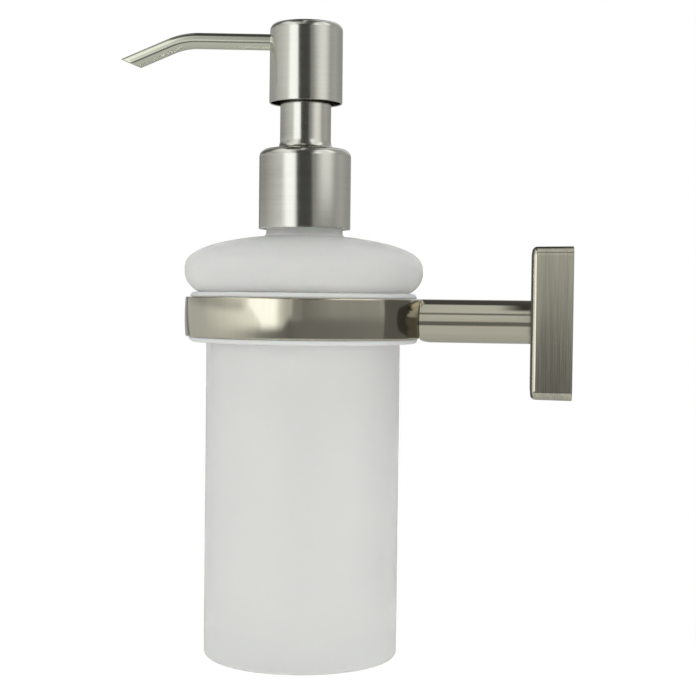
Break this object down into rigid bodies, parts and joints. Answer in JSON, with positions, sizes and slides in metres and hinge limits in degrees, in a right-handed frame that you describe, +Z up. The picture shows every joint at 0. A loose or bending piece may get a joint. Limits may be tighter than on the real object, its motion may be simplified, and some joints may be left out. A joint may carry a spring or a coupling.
{
  "type": "wall mounted soap dispenser",
  "caption": "Wall mounted soap dispenser: square flange, round arm and ring hold a frosted glass bottle with a steel pump and a bent spout.",
  "frame": {"origin": "centre of the square flange, on the wall face", "axes": "+Y points into the wall, +Z points up along the bottle, the bottle stands at -Y"},
  "size_m": [0.0816, 0.1559, 0.2162],
  "materials": {
    "nickel": "satin brushed nickel plating",
    "pump_steel": "stainless steel brushed round the axis",
    "frosted_glass": "acid-frosted outside",
    "liner_plastic": "milky translucent soft plastic",
    "white_plastic": "natural white moulded plastic",
    "clear_plastic": "natural translucent extruded tube",
    "piston_plastic": "soft moulded seal",
    "seal_rubber": "pale foam-backed seal",
    "spring_steel": "bright stainless wire and balls",
    "screw_steel": "plain zinc-plated screws",
    "zinc": "plain cast zinc"
  },
  "bodies": {
    "holder": {"wall_bracket": "zinc", "flange": "nickel", "flange_set_screw": "screw_steel", "arm": "nickel", "arm_screw": "screw_steel", "arm_washer": "screw_steel", "ring": "nickel", "ring_screw": "screw_steel"},
    "insert": {"ring_liner": "liner_plastic"},
    "bottle_body": {"bottle": "frosted_glass"},
    "pump_body": {"pump_housing": "white_plastic", "neck_gasket": "seal_rubber", "stem_guide": "white_plastic", "dip_tube": "clear_plastic", "ball_cage": "white_plastic", "return_spring": "spring_steel"},
    "collar": {"collar_shell": "pump_steel", "collar_insert": "white_plastic", "collar_sleeve": "pump_steel"},
    "plunger": {"piston": "piston_plastic"},
    "head": {"head_shell": "pump_steel", "head_core": "white_plastic", "stem": "white_plastic", "spout": "nickel"},
    "inlet_valve": {"inlet_ball": "spring_steel"},
    "outlet_valve": {"outlet_ball": "spring_steel"}
  },
  "joints": [
    {"name": "bottle_turn", "type": "hinge", "parent": "holder", "child": "insert", "pos_m": [0, -0.091, 0], "axis": [0, 0, 1], "continuous": true},
    {"name": "bottle_lift", "type": "slide", "parent": "insert", "child": "bottle_body", "axis": [0, 0, 1], "range_m": [0, 0.13]},
    {"name": "pump_rise", "type": "slide", "parent": "bottle_body", "child": "pump_body", "axis": [0, 0, 1], "range_m": [0, 0.00635]},
    {"name": "collar_turn", "type": "hinge", "parent": "pump_body", "child": "collar", "pos_m": [0, -0.091, 0], "axis": [0, 0, 1], "range_deg": [0, 540]},
    {"name": "pump_press", "type": "slide", "parent": "pump_body", "child": "plunger", "axis": [0, 0, -1], "range_m": [0, 0.013], "stiffness_N_per_m": 900, "springref_m": -0.012, "deforming": ["return_spring"]},
    {"name": "spout_swivel", "type": "hinge", "parent": "plunger", "child": "head", "pos_m": [0, -0.091, 0], "axis": [0, 0, 1], "continuous": true},
    {"name": "inlet_ball_lift", "type": "slide", "parent": "pump_body", "child": "inlet_valve", "axis": [0, 0, 1], "range_m": [0, 0.0015]},
    {"name": "outlet_ball_lift", "type": "slide", "parent": "head", "child": "outlet_valve", "axis": [0, 0, 1], "range_m": [0, 0.0012]}
  ],
  "couplings": [
    {"joint": "collar_turn", "follows": "pump_rise", "rad_per_m": 1484.3}
  ]
}
